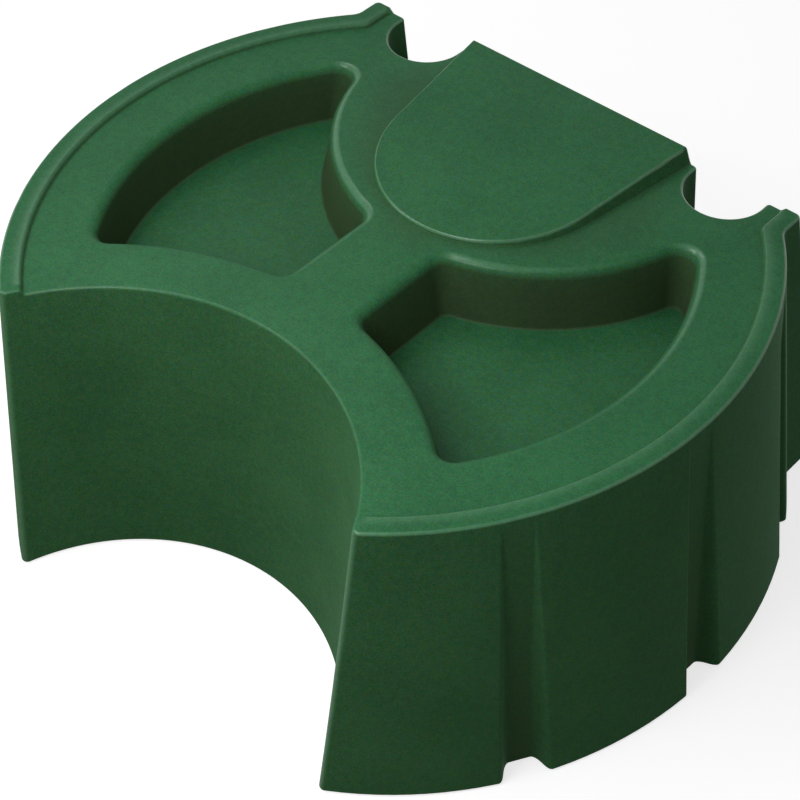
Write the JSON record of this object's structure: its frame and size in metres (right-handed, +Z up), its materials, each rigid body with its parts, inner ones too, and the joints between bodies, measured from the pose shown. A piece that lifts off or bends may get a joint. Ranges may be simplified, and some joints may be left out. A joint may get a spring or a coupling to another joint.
{
  "type": "horse riding mounting block",
  "caption": "Round hollow plastic mounting block with a bite in front, two deck trays, a sloping foot pad, handholds, rubber feet and screw-in water bungs.",
  "frame": {"origin": "on the ground, under the middle of the block's outline box", "axes": "+Z up; the bite faces -Y and the handholds and bungs face +Y; +X is to the right for someone who looks along +Y"},
  "size_m": [0.9914, 0.8008, 0.4171],
  "materials": {
    "moulding": "fine-grained moulded polyethylene, dark green",
    "bung_plastic": "moulded polypropylene, dark green",
    "foot_rubber": "matt black",
    "seal_rubber": "matt black",
    "insert_brass": "turned",
    "screw_steel": "zinc-plated"
  },
  "bodies": {
    "block": {"block_body": "moulding", "filler_socket": "insert_brass", "drain_socket": "insert_brass", "foot_front_left": "foot_rubber", "foot_front_right": "foot_rubber", "foot_side_left": "foot_rubber", "foot_side_right": "foot_rubber", "foot_rear_left": "foot_rubber", "foot_rear_right": "foot_rubber", "foot_bite": "foot_rubber", "foot_middle": "foot_rubber", "foot_inserts": "insert_brass", "foot_screws": "screw_steel", "foot_washers": "screw_steel"},
    "filler_seal_ring": {"filler_seal": "seal_rubber"},
    "filler_plug": {"filler_bung": "bung_plastic"},
    "drain_seal_ring": {"drain_seal": "seal_rubber"},
    "drain_plug": {"drain_bung": "bung_plastic"}
  },
  "joints": [
    {"name": "filler_bung_draw", "type": "slide", "parent": "block", "child": "filler_seal_ring", "axis": [0, 1, 0], "range_m": [0, 0.015]},
    {"name": "filler_bung_turn", "type": "hinge", "parent": "filler_seal_ring", "child": "filler_plug", "pos_m": [0, 0.3587, 0.3], "axis": [0, 1, 0], "range_deg": [0, 1080]},
    {"name": "drain_bung_draw", "type": "slide", "parent": "block", "child": "drain_seal_ring", "axis": [0, 1, 0], "range_m": [0, 0.015]},
    {"name": "drain_bung_turn", "type": "hinge", "parent": "drain_seal_ring", "child": "drain_plug", "pos_m": [0, 0.3814, 0.047], "axis": [0, 1, 0], "range_deg": [0, 1080]}
  ],
  "couplings": [
    {"joint": "filler_bung_draw", "follows": "filler_bung_turn", "m_per_rad": 0.00079577},
    {"joint": "drain_bung_draw", "follows": "drain_bung_turn", "m_per_rad": 0.00079577}
  ]
}
